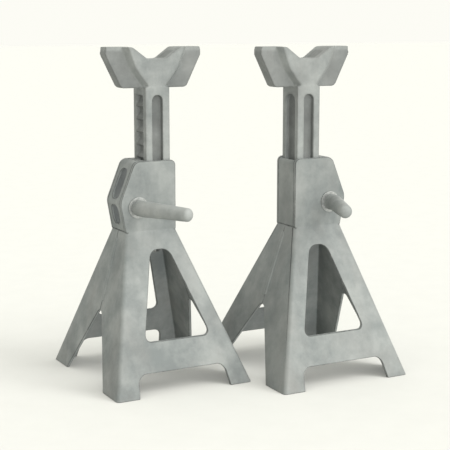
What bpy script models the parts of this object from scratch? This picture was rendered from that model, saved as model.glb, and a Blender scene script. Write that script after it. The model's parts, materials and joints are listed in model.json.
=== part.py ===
"""A pair of ratchet axle stands: two pressed A-frames, a toothed column with its saddle, a pawl and a lever each.

Metres, +Z up. The origin is on the floor, at the middle of the box round the pair. Each stand is drawn once in its
own frame, with its centre on the floor at (0, 0), its front pressing towards -Y and its pawl housing towards -X.
The right stand is that drawing mirrored in X.
"""

import math

import bmesh
import bpy
from mathutils import Vector

GAP = 0.0003  # between faces that touch on the real stand
FAR = 0.15  # half the length of a cutter that passes through everything

# The pair on the floor.
PAIR_SPACING = 0.166
PAIR_STAGGER = 0.058
LEVER_REACH_Y = 0.0951  # from the middle of a stand to the tip of its handle

# Base: a hollow pyramid of sheet steel from the floor up to the housing.
SHEET = 0.0035
HALF_X = 0.080
HALF_Y = 0.094
STAND_Y = (LEVER_REACH_Y + PAIR_STAGGER - HALF_Y) / 2  # the left stand; the right one is nearer the front
SHOULDER_Z = 0.164
SHOULDER_LEFT = -0.036
SHOULDER_RIGHT = 0.024
SHOULDER_Y = 0.020
BEND_RADIUS = 0.006
CROSSBAR_BOTTOM = 0.023
CROSSBAR_TOP = 0.053
FOOT_WIDTH = 0.025
SIDE_FOOT_WIDTH = 0.040
SIDE_ARCH_TOP = 0.082
WINDOW_TOP = 0.144
WINDOW_LEFT_BORDER = 0.029  # of the legs beside the window, along the crossbar
WINDOW_RIGHT_BORDER = 0.021
WINDOW_APEX = (-0.011, 0.010)
WINDOW_RADII = (0.007, 0.008, 0.009)  # lower left, lower right, apex
ARCH_LEAN = 0.004
ARCH_RADIUS = 0.010
SIDE_APEX_HALF = 0.004
SIDE_APEX_DROP = 0.006
BELOW_FLOOR = 0.01

# Housing between the two cheeks.
HOUSING_TOP = 0.240
BULGE_X = -0.042
BULGE_Z = 0.196
HOUSING_CORNER = 0.006
CHEEK_FOOT = 0.158
BULGE_RADIUS = 0.010
COVER_THICKNESS = 0.003
COVER_TOP_EDGE = -0.017
SLOT_WIDTH = 0.019
SLOT_RADIUS = 0.007
SLOTS = ((0.171, 0.192), (0.199, 0.231))  # heights of their lower and upper ends
TOP_GUIDE_LEFT = -0.0167
LOWER_GUIDE_LEFT = -0.0310
GUIDE_HEIGHT = 0.004

# Column and saddle.
COLUMN_LEFT = -0.0095
COLUMN_RIGHT = 0.0195
COLUMN_HALF_Y = 0.016
COLUMN_BOTTOM = 0.1463
COLUMN_MIDDLE = (COLUMN_LEFT + COLUMN_RIGHT) / 2
POCKET_DEPTH = 0.005
POCKET_BORDER = 0.006
FRONT_POCKET_BORDER = 0.0085
POCKET_ROUNDING = 0.9  # of its half width
POCKET_BOTTOM = 0.160
POCKET_TOP = 0.310
SADDLE_UNDERSIDE = 0.318
SADDLE_TOP = 0.362
TROUGH_Z = 0.349
TROUGH_HALF = 0.0105
WING_HALF_Y = 0.008
# Half outlines of the saddle: (distance from the middle, height, corner radius), from below, up and inwards.
WING_SIDE = (
    (0.0385, SADDLE_UNDERSIDE, 0.006),
    (0.0565, SADDLE_TOP - 0.008, 0.003),
    (0.0555, SADDLE_TOP, 0.001),
    (0.0280, SADDLE_TOP, 0.003),
    (TROUGH_HALF, TROUGH_Z, 0.003),
)
YOKE_SIDE = (
    (0.0075, 0.3120, 0),
    (0.0085, 0.3185, 0.004),
    (0.0245, 0.3390, 0.010),
    (0.0330, SADDLE_TOP - GAP, 0),
)
YOKE_TROUGH = ((0.0280, SADDLE_TOP - GAP, 0.003), (TROUGH_HALF, TROUGH_Z, 0.003))
YOKE_SPREAD = 0.006
YOKE_OVERLAP = 0.001  # how far the wide part of the yoke reaches into the wings
TOOTH_PITCH = 0.014
TOOTH_COUNT = 8
FIRST_TOOTH_Z = 0.200
TOOTH_HEIGHT = 0.0045
TOOTH_LEDGE = 0.0016  # how far the ledge's root lies below its tip
TOOTH_BACK = 0.0095  # how far the tooth's back runs up from its tip
RACK_CLEARANCE = 0.0015
SCREW_BORE = 0.0044
SCREW_BORE_DEPTH = 0.021
STOP_THICKNESS = 0.004
STOP_OVERHANG = 0.006
STOP_INSET_X = 0.0005
STOP_INSET_Y = 0.001
SCREW_RADIUS = 0.004
SCREW_LENGTH = 0.0235
SCREW_HEAD_RADIUS = 0.0075
SCREW_HEAD_HEIGHT = 0.0053

# Pawl, lever and their shaft.
SHAFT_X = -0.021
SHAFT_Z = 0.190
SHAFT_RADIUS = 0.006
SHAFT_HOLE = 0.0065
SHAFT_END_Y = 0.0275
HUB_RADIUS = 0.0105
HUB_HALF_Y = 0.013
NOSE_HALF_Y = 0.0075
PAWL_NOSE = ((-0.0102, 0.1990), (-0.0052, 0.2089), (-0.0052, 0.2109), (-0.0099, 0.2126), (-0.0160, 0.2115))
LEVER_RUN = Vector((0.027, -0.064, 0.0))
LEVER_ROOT_RADIUS = 0.0088
LEVER_TIP_RADIUS = 0.0072
WASHER_THICKNESS = 0.0015
WASHER_RADIUS = 0.0115
ROLL_PIN_RADIUS = 0.002
SPLIT_PIN_RADIUS = 0.0014
SPLIT_PIN_Y = 0.0245

ROUND_SIDES = 24
SMALL_ROUND_SIDES = 16


def material(name, colour, metallic, roughness):
    made = bpy.data.materials.new(name)
    made.use_nodes = True
    shader = made.node_tree.nodes["Principled BSDF"]
    shader.inputs["Base Color"].default_value = (*colour, 1.0)
    shader.inputs["Metallic"].default_value = metallic
    shader.inputs["Roughness"].default_value = roughness
    made.diffuse_color = (*colour, 1.0)
    return made


def frame_paint():
    return material("grey_frame_paint", (0.36, 0.39, 0.385), 0.0, 0.48)


def casting_paint():
    return material("grey_casting_paint", (0.31, 0.34, 0.335), 0.0, 0.55)


def plated_steel():
    return material("zinc_plated_steel", (0.55, 0.56, 0.55), 0.9, 0.4)


def bare_steel():
    return material("oiled_steel", (0.24, 0.24, 0.24), 0.9, 0.5)


def arc(centre, radius, start, end, steps):
    """Points on a circle, with angles in degrees."""
    angles = [math.radians(start + (end - start) * i / steps) for i in range(steps + 1)]
    return [(centre[0] + radius * math.cos(a), centre[1] + radius * math.sin(a)) for a in angles]


def rounded(corners, steps=4):
    """An outline through (x, y, radius) corners, with each corner turned into an arc of its radius."""
    outline = []
    for i, (x, y, radius) in enumerate(corners):
        here = Vector((x, y))
        if radius == 0:
            outline.append((x, y))
            continue
        back = (Vector(corners[i - 1][:2]) - here).normalized()
        ahead = (Vector(corners[(i + 1) % len(corners)][:2]) - here).normalized()
        half_angle = back.angle(ahead) / 2
        centre = here + (back + ahead).normalized() * radius / math.sin(half_angle)
        first = here + back * radius / math.tan(half_angle) - centre
        last = here + ahead * radius / math.tan(half_angle) - centre
        turn = first.angle_signed(last)
        for step in range(steps + 1):
            angle = -turn * step / steps
            spun = Vector(
                (
                    first.x * math.cos(angle) - first.y * math.sin(angle),
                    first.x * math.sin(angle) + first.y * math.cos(angle),
                )
            )
            outline.append(tuple(centre + spun))
    return outline


def object_from(bm, name):
    bmesh.ops.recalc_face_normals(bm, faces=bm.faces)
    mesh = bpy.data.meshes.new(name)
    bm.to_mesh(mesh)
    bm.free()
    made = bpy.data.objects.new(name, mesh)
    bpy.context.scene.collection.objects.link(made)
    return made


def loft(name, sections):
    """A closed solid through sections of equally many points, with a flat cap on each end."""
    bm = bmesh.new()
    rings = [[bm.verts.new(point) for point in section] for section in sections]
    for lower, upper in zip(rings, rings[1:]):
        for i in range(len(lower)):
            j = (i + 1) % len(lower)
            bm.faces.new((lower[i], lower[j], upper[j], upper[i]))
    bm.faces.new(rings[0])
    bm.faces.new(rings[-1])
    return object_from(bm, name)


def prism_along_y(name, outline, low, high):
    """An (x, z) outline extruded from y = low to y = high."""
    return loft(name, [[(x, y, z) for x, z in outline] for y in (low, high)])


def prism_along_x(name, outline, low, high):
    """A (y, z) outline extruded from x = low to x = high."""
    return loft(name, [[(x, y, z) for y, z in outline] for x in (low, high)])


def box(name, low, high):
    outline = [(low[0], low[2]), (high[0], low[2]), (high[0], high[2]), (low[0], high[2])]
    return prism_along_y(name, outline, low[1], high[1])


def turned(name, start, along, profile, sides=ROUND_SIDES):
    """A solid of revolution: profile is (distance, radius) pairs from start, in the direction along."""
    forward = Vector(along).normalized()
    across = forward.orthogonal().normalized()
    up = forward.cross(across)
    sections = []
    for distance, radius in profile:
        middle = Vector(start) + forward * distance
        spokes = [2 * math.pi * i / sides for i in range(sides)]
        sections.append([middle + radius * (across * math.cos(a) + up * math.sin(a)) for a in spokes])
    return loft(name, sections)


def combine(body, other, operation):
    """Applies an exact Boolean to body and removes the other object."""
    step = body.modifiers.new(operation.lower(), "BOOLEAN")
    step.operation = operation
    step.object = other
    graph = bpy.context.evaluated_depsgraph_get()
    result = bpy.data.meshes.new_from_object(body.evaluated_get(graph))
    body.modifiers.clear()
    old = body.data
    body.data = result
    bpy.data.meshes.remove(old)
    bpy.data.objects.remove(other)
    return body


def cut(body, cutter):
    return combine(body, cutter, "DIFFERENCE")


def join(body, other):
    return combine(body, other, "UNION")


def place(made, stand, name, finish, origin=(0.0, 0.0, 0.0)):
    """Moves a piece from the drawing to its stand, with its origin at the given point of the drawing."""
    mesh = made.data
    for vertex in mesh.vertices:
        local = vertex.co - Vector(origin)
        vertex.co = (local.x * stand["mirror"], local.y, local.z)
    if stand["mirror"] < 0:
        mesh.flip_normals()
    made.name = f"{stand['name']}_{name}"
    mesh.name = made.name
    made.location = (stand["x"] + origin[0] * stand["mirror"], stand["y"] + origin[1], origin[2])
    mesh.materials.clear()
    mesh.materials.append(finish())
    mesh.shade_smooth()
    mesh.set_sharp_from_angle(angle=math.radians(30))
    return made


def pyramid_left(z):
    return -HALF_X + (SHOULDER_LEFT + HALF_X) * z / SHOULDER_Z


def pyramid_right(z):
    return HALF_X + (SHOULDER_RIGHT - HALF_X) * z / SHOULDER_Z


def pyramid_front(z):
    return -HALF_Y + (HALF_Y - SHOULDER_Y) * z / SHOULDER_Z


def pressing_section(z):
    """The U of sheet that one pressing shows when it is cut level at height z."""
    left, right, front = pyramid_left(z), pyramid_right(z), pyramid_front(z)
    inner = BEND_RADIUS - SHEET
    seam = -GAP / 2
    outside = [(left, seam, 0), (left, front, BEND_RADIUS), (right, front, BEND_RADIUS), (right, seam, 0)]
    inside = [
        (right - SHEET, seam, 0),
        (right - SHEET, front + SHEET, inner),
        (left + SHEET, front + SHEET, inner),
        (left + SHEET, seam, 0),
    ]
    return [(x, y, z) for x, y in rounded(outside + inside, steps=3)]


def cheek_outline():
    return rounded(
        [
            (SHOULDER_LEFT, CHEEK_FOOT, 0),
            (SHOULDER_RIGHT, CHEEK_FOOT, 0),
            (SHOULDER_RIGHT, HOUSING_TOP, HOUSING_CORNER),
            (-SHOULDER_RIGHT, HOUSING_TOP, HOUSING_CORNER),
            (BULGE_X, BULGE_Z, BULGE_RADIUS),
            (SHOULDER_LEFT, SHOULDER_Z, 0),
        ]
    )


def window_outline():
    """The rounded triangle in the sloping face, above its crossbar."""
    left_edge = pyramid_left(CROSSBAR_TOP) + WINDOW_LEFT_BORDER
    right_edge = pyramid_right(CROSSBAR_TOP) - WINDOW_RIGHT_BORDER
    lower_left, lower_right, apex = WINDOW_RADII
    return rounded(
        [
            (left_edge, CROSSBAR_TOP, lower_left),
            (right_edge, CROSSBAR_TOP, lower_right),
            (WINDOW_APEX[1], WINDOW_TOP, apex),
            (WINDOW_APEX[0], WINDOW_TOP, apex),
        ]
    )


def foot_arch_outline():
    """The gap under the crossbar, open to the floor between the feet."""
    left_edge = -HALF_X + FOOT_WIDTH
    right_edge = HALF_X - FOOT_WIDTH
    return rounded(
        [
            (left_edge, -BELOW_FLOOR, 0),
            (right_edge, -BELOW_FLOOR, 0),
            (right_edge - ARCH_LEAN, CROSSBAR_BOTTOM, ARCH_RADIUS),
            (left_edge + ARCH_LEAN, CROSSBAR_BOTTOM, ARCH_RADIUS),
        ]
    )


def side_arch_outline():
    """Half of the upturned V between a front and a back leg."""
    leg = HALF_Y - SIDE_FOOT_WIDTH
    spare = BELOW_FLOOR * leg / SIDE_ARCH_TOP
    apex = SIDE_ARCH_TOP - SIDE_APEX_DROP
    return rounded(
        [
            (-leg - spare, -BELOW_FLOOR, 0),
            (leg + spare, -BELOW_FLOOR, 0),
            (SIDE_APEX_HALF, apex, SIDE_APEX_HALF),
            (-SIDE_APEX_HALF, apex, SIDE_APEX_HALF),
        ]
    )


def mirror_to_back(made):
    """Mirrors a front piece in Y, so that it faces +Y."""
    for vertex in made.data.vertices:
        vertex.co.y = -vertex.co.y
    made.data.flip_normals()


def make_pressing(stand, name, is_back):
    pressing = loft("pressing", [pressing_section(0.0), pressing_section(SHOULDER_Z)])
    join(pressing, prism_along_y("cheek", cheek_outline(), -SHOULDER_Y, -SHOULDER_Y + SHEET))
    cut(pressing, prism_along_y("window", window_outline(), -FAR, -SHOULDER_Y))
    cut(pressing, prism_along_y("arch", foot_arch_outline(), -FAR, -SHOULDER_Y))
    cut(pressing, prism_along_x("side_arch", side_arch_outline(), -FAR, FAR))
    hole = [(0.0, SHAFT_HOLE), (2 * SHEET + 2 * GAP, SHAFT_HOLE)]
    cut(pressing, turned("hole", (SHAFT_X, -SHOULDER_Y - SHEET, SHAFT_Z), (0, 1, 0), hole))
    if is_back:
        mirror_to_back(pressing)
    place(pressing, stand, name, frame_paint)


def offset_path(path, distance):
    """The path moved sideways by distance, to the right of its direction."""
    moved = []
    for i, point in enumerate(path):
        here = Vector(point)
        before = Vector(path[i - 1]) if i > 0 else None
        after = Vector(path[i + 1]) if i + 1 < len(path) else None
        steps = [d.normalized() for d in (here - before if before else None, after - here if after else None) if d]
        normals = [Vector((d.y, -d.x)) for d in steps]
        middle = sum(normals, Vector((0, 0))).normalized()
        moved.append(tuple(here + middle * distance / middle.dot(normals[0])))
    return moved


def housing_band(name, path):
    """A strip of sheet bent along a path of (x, z) points, between the cheeks. Its thickness is on the inside."""
    inside = SHOULDER_Y - SHEET - GAP
    return prism_along_y(name, path + offset_path(path, COVER_THICKNESS)[::-1], -inside, inside)


def slot_cutter(low, high):
    half = SLOT_WIDTH / 2
    corners = [(-half, low), (half, low), (half, high), (-half, high)]
    outline = rounded([(y, z, SLOT_RADIUS) for y, z in corners])
    return prism_along_x("slot", outline, -FAR, SHAFT_X)


def make_pawl_cover(stand):
    bend = rounded([(SHOULDER_LEFT, SHOULDER_Z, 0), (BULGE_X, BULGE_Z, BULGE_RADIUS), (-SHOULDER_RIGHT, HOUSING_TOP, 0)])
    corner = rounded([(BULGE_X, BULGE_Z, 0), (-SHOULDER_RIGHT, HOUSING_TOP, HOUSING_CORNER), (COVER_TOP_EDGE, HOUSING_TOP, 0)])
    path = [(SHOULDER_LEFT, SHOULDER_Z + GAP)] + bend[1:-1] + corner[1:]
    cover = housing_band("pawl_cover", path)
    for low, high in SLOTS:
        cut(cover, slot_cutter(low, high))
    place(cover, stand, "pawl_cover", frame_paint)


def make_side_plate(stand):
    centre = (SHOULDER_RIGHT - HOUSING_CORNER, HOUSING_TOP - HOUSING_CORNER)
    path = arc(centre, HOUSING_CORNER, 48, 0, 4) + [(SHOULDER_RIGHT, SHOULDER_Z + GAP)]
    place(housing_band("side_plate", path), stand, "side_plate", frame_paint)


def make_guide_block(stand, name, left, top):
    """A bar between the cheeks that the toothed side of the column slides against."""
    inside = SHOULDER_Y - SHEET - GAP
    right = COLUMN_LEFT - 2 * GAP
    block = box(name, (left, -inside, top - GUIDE_HEIGHT), (right, inside, top))
    place(block, stand, name, frame_paint)


def pocket_cutter(axis, middle, half_width, surface, inward):
    """A long pocket with round ends, sunk into the face of the column at surface."""
    left, right = middle - half_width, middle + half_width
    corners = [(left, POCKET_BOTTOM), (right, POCKET_BOTTOM), (right, POCKET_TOP), (left, POCKET_TOP)]
    outline = rounded([(across, z, half_width * POCKET_ROUNDING) for across, z in corners])
    ends = sorted((surface + inward * POCKET_DEPTH, surface - inward * POCKET_DEPTH))
    prism = prism_along_y if axis == "y" else prism_along_x
    return prism("pocket", outline, *ends)


def rack_cutter():
    """The slot in the column's left face, less the teeth that stay in it."""
    floor = COLUMN_LEFT + POCKET_DEPTH
    outline = [(COLUMN_LEFT - POCKET_DEPTH, POCKET_BOTTOM), (floor, POCKET_BOTTOM)]
    for i in range(TOOTH_COUNT):
        tip = FIRST_TOOTH_Z + i * TOOTH_PITCH
        outline.append((floor, tip - TOOTH_LEDGE))
        outline.append((floor - TOOTH_HEIGHT, tip))
        outline.append((floor, tip + TOOTH_BACK))
    outline += [(floor, POCKET_TOP), (COLUMN_LEFT - POCKET_DEPTH, POCKET_TOP)]
    half = NOSE_HALF_Y + RACK_CLEARANCE
    return prism_along_y("rack", outline, -half, half)


def both_sides(half):
    """A closed outline round the column's middle from the half of it at the right."""
    mirrored = [(-x, z, radius) for x, z, radius in reversed(half)]
    return [(COLUMN_MIDDLE + x, z) for x, z in rounded(half + mirrored, steps=3)]


def yoke_outline(spread):
    """The Y-shaped middle of the saddle. Spread widens it where it meets the wings."""
    return both_sides([(x + spread, z, radius) for x, z, radius in YOKE_SIDE] + list(YOKE_TROUGH))


def make_column(stand):
    low = (COLUMN_LEFT, -COLUMN_HALF_Y, COLUMN_BOTTOM)
    column = box("column", low, (COLUMN_RIGHT, COLUMN_HALF_Y, SADDLE_UNDERSIDE + YOKE_OVERLAP))
    half_front = (COLUMN_RIGHT - COLUMN_LEFT) / 2 - FRONT_POCKET_BORDER
    cut(column, pocket_cutter("y", COLUMN_MIDDLE, half_front, -COLUMN_HALF_Y, 1))
    cut(column, pocket_cutter("y", COLUMN_MIDDLE, half_front, COLUMN_HALF_Y, -1))
    cut(column, pocket_cutter("x", 0.0, COLUMN_HALF_Y - POCKET_BORDER, COLUMN_RIGHT, -1))
    cut(column, rack_cutter())
    join(column, prism_along_y("wings", both_sides(list(WING_SIDE)), -WING_HALF_Y, WING_HALF_Y))
    edge = COLUMN_HALF_Y - GAP
    root = WING_HALF_Y - YOKE_OVERLAP
    stations = [(-edge, 0.0), (-root, YOKE_SPREAD), (root, YOKE_SPREAD), (edge, 0.0)]
    yoke = [[(x, y, z) for x, z in yoke_outline(spread)] for y, spread in stations]
    join(column, loft("yoke", yoke))
    bore = [(-STOP_THICKNESS, SCREW_BORE), (SCREW_BORE_DEPTH, SCREW_BORE)]
    cut(column, turned("bore", (COLUMN_MIDDLE, 0, COLUMN_BOTTOM), (0, 0, 1), bore, SMALL_ROUND_SIDES))
    place(column, stand, "ratchet_column", casting_paint, (COLUMN_MIDDLE, 0, COLUMN_BOTTOM))


def make_stop_plate(stand):
    """The plate under the column that meets the lower guide block at full height."""
    top = COLUMN_BOTTOM - GAP
    half = COLUMN_HALF_Y - STOP_INSET_Y
    low = (COLUMN_LEFT - STOP_OVERHANG, -half, top - STOP_THICKNESS)
    plate = box("stop_plate", low, (COLUMN_RIGHT - STOP_INSET_X, half, top))
    hole = [(0.0, SCREW_BORE), (3 * STOP_THICKNESS, SCREW_BORE)]
    cut(plate, turned("hole", (COLUMN_MIDDLE, 0, top - 2 * STOP_THICKNESS), (0, 0, 1), hole, SMALL_ROUND_SIDES))
    place(plate, stand, "column_stop_plate", plated_steel, (COLUMN_MIDDLE, 0, COLUMN_BOTTOM))
    under = top - STOP_THICKNESS - GAP
    head = [(0.0, SCREW_HEAD_RADIUS), (SCREW_HEAD_HEIGHT, SCREW_HEAD_RADIUS)]
    shank = [(0.0, SCREW_RADIUS), (SCREW_LENGTH, SCREW_RADIUS)]
    screw = turned("head", (COLUMN_MIDDLE, 0, under - SCREW_HEAD_HEIGHT), (0, 0, 1), head, 6)
    shank_foot = (COLUMN_MIDDLE, 0, under - SCREW_HEAD_HEIGHT / 2)
    join(screw, turned("shank", shank_foot, (0, 0, 1), shank, SMALL_ROUND_SIDES))
    place(screw, stand, "stop_plate_screw", plated_steel, (COLUMN_MIDDLE, 0, COLUMN_BOTTOM))


def pawl_outline():
    hub = arc((SHAFT_X, SHAFT_Z), HUB_RADIUS, 137, 368, 14)
    return hub + list(PAWL_NOSE)


def make_pawl(stand):
    pawl = prism_along_y("pawl", pawl_outline(), -NOSE_HALF_Y, NOSE_HALF_Y)
    start = (SHAFT_X, -HUB_HALF_Y, SHAFT_Z)
    join(pawl, turned("hub", start, (0, 1, 0), [(0.0, HUB_RADIUS - 0.0002), (2 * HUB_HALF_Y, HUB_RADIUS - 0.0002)]))
    bore = [(0.0, SHAFT_RADIUS + GAP), (4 * HUB_HALF_Y, SHAFT_RADIUS + GAP)]
    cut(pawl, turned("bore", (SHAFT_X, -2 * HUB_HALF_Y, SHAFT_Z), (0, 1, 0), bore))
    cut(pawl, roll_pin_solid(ROLL_PIN_RADIUS + GAP, 0.030))
    place(pawl, stand, "pawl", bare_steel, (SHAFT_X, 0, SHAFT_Z))


def roll_pin_solid(radius, length):
    """A pin through the hub and the shaft, square to the shaft."""
    direction = Vector((0.5, 0.0, -1.0)).normalized()
    start = Vector((SHAFT_X, 0.0105, SHAFT_Z)) - direction * length / 2
    return turned("roll_pin", start, direction, [(0.0, radius), (length, radius)], 12)


def lever_sections():
    """Rings along the shaft and round the bend into the handle, from the far end of the shaft to the handle's tip."""
    run = LEVER_RUN.normalized()
    washer_face = -SHOULDER_Y - 2 * GAP - WASHER_THICKNESS - GAP
    stations = [
        (SHAFT_END_Y, SHAFT_RADIUS - 0.0008),
        (SHAFT_END_Y - 0.0008, SHAFT_RADIUS),
        (washer_face, SHAFT_RADIUS),
        (washer_face - 0.0001, LEVER_ROOT_RADIUS - 0.001),
        (washer_face - 0.001, LEVER_ROOT_RADIUS),
        (washer_face - 0.004, LEVER_ROOT_RADIUS),
    ]
    rings = [(Vector((SHAFT_X, y, SHAFT_Z)), Vector((0, -1, 0)), radius) for y, radius in stations]
    elbow = Vector((SHAFT_X, washer_face - 0.008, SHAFT_Z))
    for turn in (0.25, 0.5, 0.75, 1.0):
        forward = Vector((0, -1, 0)).lerp(run, turn).normalized()
        start = elbow + Vector((0, 0.004, 0))
        end = elbow + run * 0.004
        middle = start.lerp(elbow, turn).lerp(elbow.lerp(end, turn), turn)
        rings.append((middle, forward, LEVER_ROOT_RADIUS))
    length = LEVER_RUN.length
    handle = [(length * t, LEVER_ROOT_RADIUS + (LEVER_TIP_RADIUS - LEVER_ROOT_RADIUS) * t) for t in (0.4, 0.7)]
    tip_start = length - LEVER_TIP_RADIUS * 0.7
    for angle in (0, 25, 50, 70, 82):
        bulge = math.radians(angle)
        handle.append((tip_start + LEVER_TIP_RADIUS * 0.7 * math.sin(bulge), LEVER_TIP_RADIUS * math.cos(bulge)))
    rings += [(elbow + run * distance, run, radius) for distance, radius in handle]
    return rings


def make_lever(stand):
    up = Vector((0, 0, 1))
    spokes = [2 * math.pi * i / ROUND_SIDES for i in range(ROUND_SIDES)]
    sections = []
    for middle, forward, radius in lever_sections():
        across = forward.cross(up).normalized()
        sections.append([middle + radius * (across * math.cos(a) + up * math.sin(a)) for a in spokes])
    lever = loft("lever", sections)
    cut(lever, roll_pin_solid(ROLL_PIN_RADIUS + GAP, 0.030))
    cut(lever, split_pin_shank(SPLIT_PIN_RADIUS + GAP))
    place(lever, stand, "lever", casting_paint, (SHAFT_X, 0, SHAFT_Z))


def make_roll_pin(stand):
    place(roll_pin_solid(ROLL_PIN_RADIUS, 0.0195), stand, "pawl_roll_pin", plated_steel, (SHAFT_X, 0, SHAFT_Z))


def make_washer(stand, name, start_y):
    profile = [(0.0, WASHER_RADIUS), (WASHER_THICKNESS, WASHER_RADIUS)]
    washer = turned(name, (SHAFT_X, start_y, SHAFT_Z), (0, 1, 0), profile)
    hole = [(0.0, SHAFT_HOLE), (0.010, SHAFT_HOLE)]
    cut(washer, turned("hole", (SHAFT_X, start_y - 0.005, SHAFT_Z), (0, 1, 0), hole))
    place(washer, stand, name, plated_steel, (SHAFT_X, 0, SHAFT_Z))


def split_pin_shank(radius):
    start = (SHAFT_X, SPLIT_PIN_Y, SHAFT_Z + 0.009)
    return turned("shank", start, (0, 0, -1), [(0.0, radius), (0.020, radius)], 12)


def make_split_pin(stand):
    """A split pin through the shaft's far end, with its eye on top and its ends spread below."""
    pin = split_pin_shank(SPLIT_PIN_RADIUS)
    eye = bmesh.new()
    middle = Vector((SHAFT_X, SPLIT_PIN_Y, SHAFT_Z + 0.0105))
    rings = []
    for i in range(16):
        around = 2 * math.pi * i / 16
        outward = Vector((math.cos(around), 0, math.sin(around)))
        ring = []
        for j in range(8):
            turn = 2 * math.pi * j / 8
            offset = outward * (0.0026 + 0.0011 * math.cos(turn)) + Vector((0, 0.0011 * math.sin(turn), 0))
            ring.append(eye.verts.new(middle + offset))
        rings.append(ring)
    for i, ring in enumerate(rings):
        following = rings[(i + 1) % 16]
        for j in range(8):
            eye.faces.new((ring[j], ring[(j + 1) % 8], following[(j + 1) % 8], following[j]))
    join(pin, object_from(eye, "eye"))
    for side in (-1, 1):
        start = (SHAFT_X, SPLIT_PIN_Y, SHAFT_Z - 0.0095)
        leg = turned("leg", start, (side * 0.8, 0, -0.6), [(0.0, 0.0009), (0.007, 0.0009)], 8)
        join(pin, leg)
    place(pin, stand, "split_pin", plated_steel, (SHAFT_X, 0, SHAFT_Z))


def make_stand(stand):
    make_pressing(stand, "front_frame", is_back=False)
    make_pressing(stand, "back_frame", is_back=True)
    make_pawl_cover(stand)
    make_side_plate(stand)
    make_guide_block(stand, "top_guide_block", TOP_GUIDE_LEFT, HOUSING_TOP)
    make_guide_block(stand, "lower_guide_block", LOWER_GUIDE_LEFT, SHOULDER_Z + GAP)
    make_column(stand)
    make_stop_plate(stand)
    make_pawl(stand)
    make_lever(stand)
    make_roll_pin(stand)
    make_washer(stand, "lever_washer", -SHOULDER_Y - GAP - WASHER_THICKNESS)
    make_washer(stand, "end_washer", SHOULDER_Y + GAP)
    make_split_pin(stand)


def main():
    for old in list(bpy.data.objects):
        bpy.data.objects.remove(old)
    make_stand({"name": "left", "x": -PAIR_SPACING / 2, "y": STAND_Y, "mirror": 1})
    make_stand({"name": "right", "x": PAIR_SPACING / 2, "y": STAND_Y - PAIR_STAGGER, "mirror": -1})


main()
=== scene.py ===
# %% [markdown]
# A pair of axle stands, finished over a fixed frame
#
# The solid model of the stands is already right in size and in how it moves, but its edges are razor sharp
# and its paint is one flat colour. This lesson keeps every size and joint and makes the pieces again as they
# come from the press shop and the foundry: bent sheet steel, a sand casting, a turned bar, and grey enamel.

import json
import math

import bmesh
import bpy
from mathutils import Matrix, Vector


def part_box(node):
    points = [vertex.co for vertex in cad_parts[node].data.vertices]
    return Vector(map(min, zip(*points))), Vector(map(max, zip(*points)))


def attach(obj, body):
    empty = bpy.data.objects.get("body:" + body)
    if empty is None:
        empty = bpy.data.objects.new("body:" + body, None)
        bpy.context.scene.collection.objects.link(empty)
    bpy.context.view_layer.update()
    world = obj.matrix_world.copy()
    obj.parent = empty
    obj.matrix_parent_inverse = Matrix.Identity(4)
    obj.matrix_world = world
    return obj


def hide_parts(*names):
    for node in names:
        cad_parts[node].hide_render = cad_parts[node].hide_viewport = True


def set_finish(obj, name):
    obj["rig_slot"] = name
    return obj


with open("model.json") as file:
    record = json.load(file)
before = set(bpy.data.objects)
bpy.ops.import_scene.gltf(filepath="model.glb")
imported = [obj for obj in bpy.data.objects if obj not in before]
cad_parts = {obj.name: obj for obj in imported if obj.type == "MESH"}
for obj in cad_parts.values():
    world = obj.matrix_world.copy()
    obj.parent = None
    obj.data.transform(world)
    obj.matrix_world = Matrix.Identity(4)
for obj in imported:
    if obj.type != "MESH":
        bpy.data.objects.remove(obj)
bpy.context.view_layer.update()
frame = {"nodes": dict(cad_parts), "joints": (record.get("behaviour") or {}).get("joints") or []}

# %% [markdown]
# Where each stand is
#
# Each piece is made once, in the drawing of one stand: the origin is on the floor under the middle of the
# stand, the front pressing faces -Y, and the bulge for the pawl points to -X. The right-hand stand is the
# same drawing mirrored in X. The middle of a stand is read from its front pressing, whose back edges lie in
# the plane where the two pressings meet.

# %% Find the two stands
SEAM_GAP = 0.00015  # half of the gap between the two pressings
STANDS = {}
for side, mirror in (("left", 1), ("right", -1)):
    low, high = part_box(f"{side}_front_frame")
    STANDS[side] = {"x": (low.x + high.x) / 2, "y": high.y + SEAM_GAP, "mirror": mirror}
print({side: (round(s["x"], 4), round(s["y"], 4)) for side, s in STANDS.items()})


def drawn_box(name):
    """The box of a left-hand node, in the drawing of one stand."""
    shift = Vector((STANDS["left"]["x"], STANDS["left"]["y"], 0))
    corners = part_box(f"left_{name}")
    return corners[0] - shift, corners[1] - shift


# %% [markdown]
# Helpers for modelling by hand
#
# An operator works on whatever is selected, so each helper first selects exactly one thing. choose() plays
# the part of the mouse: it goes into edit mode and selects the vertices, edges or faces that lie where a
# test says.

# %% Selecting and finishing


def select_only(piece):
    if bpy.context.mode != "OBJECT":
        bpy.ops.object.mode_set(mode="OBJECT")
    bpy.ops.object.select_all(action="DESELECT")
    piece.select_set(True)
    bpy.context.view_layer.objects.active = piece


def start(name, primitive, scale=(1, 1, 1), **settings):
    """A primitive, added with nothing else selected, with its scale and place applied."""
    if bpy.context.mode != "OBJECT":
        bpy.ops.object.mode_set(mode="OBJECT")
    bpy.ops.object.select_all(action="DESELECT")
    primitive(**settings)
    piece = bpy.context.object
    piece.name = name
    piece.scale = scale
    bpy.ops.object.transform_apply(location=True, rotation=True, scale=True)
    return piece


def start_box(name, low, high):
    """A cube stretched between two corners."""
    low, high = Vector(low), Vector(high)
    return start(name, bpy.ops.mesh.primitive_cube_add, high - low, size=1, location=(low + high) / 2)


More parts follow.
